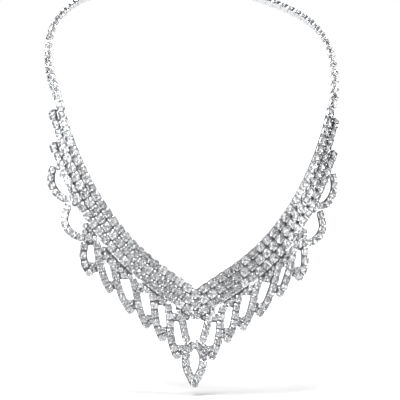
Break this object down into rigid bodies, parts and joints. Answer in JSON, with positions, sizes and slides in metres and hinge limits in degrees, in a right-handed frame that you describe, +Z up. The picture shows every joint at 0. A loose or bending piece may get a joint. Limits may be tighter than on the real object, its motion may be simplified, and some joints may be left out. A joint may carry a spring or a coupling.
{
  "type": "rhinestone V-shaped choker necklace",
  "caption": "Silver-tone crystal collar necklace: rows of claw-set stones in a V, leaf-shaped bands along its lower edge, a pointed centre leaf and a back chain with a barrel clasp.",
  "frame": {"origin": "the point of the nape that the clasp rests on, the middle of the clasp's inner side, from where the worn necklace hangs", "axes": "+X is to the right as seen from the front, -Y is the front of the chest, +Z is up"},
  "size_m": [0.1252, 0.1098, 0.1711],
  "materials": {
    "crystal_chain": "clear faceted stones over mirror foil in bright rhodium-toned claw cups",
    "silver_metal": "bright rhodium-toned plating, lightly worn"
  },
  "bodies": {
    "root": {"collar_row_inner": "crystal_chain", "collar_row_middle": "crystal_chain", "collar_row_outer": "crystal_chain", "back_chain_left": "crystal_chain", "back_chain_right": "crystal_chain", "leaf_band_1_left": "crystal_chain", "leaf_band_2_left": "crystal_chain", "leaf_band_3_left": "crystal_chain", "leaf_band_4_left": "crystal_chain", "leaf_band_5_left": "crystal_chain", "leaf_band_6_left": "crystal_chain", "leaf_band_7_left": "crystal_chain", "leaf_band_8_left": "crystal_chain", "leaf_band_9_left": "crystal_chain", "leaf_link_4_left": "crystal_chain", "leaf_link_5_left": "crystal_chain", "leaf_link_6_left": "crystal_chain", "leaf_link_7_left": "crystal_chain", "leaf_link_8_left": "crystal_chain", "leaf_band_1_right": "crystal_chain", "leaf_band_2_right": "crystal_chain", "leaf_band_3_right": "crystal_chain", "leaf_band_4_right": "crystal_chain", "leaf_band_5_right": "crystal_chain", "leaf_band_6_right": "crystal_chain", "leaf_band_7_right": "crystal_chain", "leaf_band_8_right": "crystal_chain", "leaf_band_9_right": "crystal_chain", "leaf_link_4_right": "crystal_chain", "leaf_link_5_right": "crystal_chain", "leaf_link_6_right": "crystal_chain", "leaf_link_7_right": "crystal_chain", "leaf_link_8_right": "crystal_chain", "centre_leaf": "crystal_chain", "clasp": "silver_metal"}
  },
  "joints": []
}
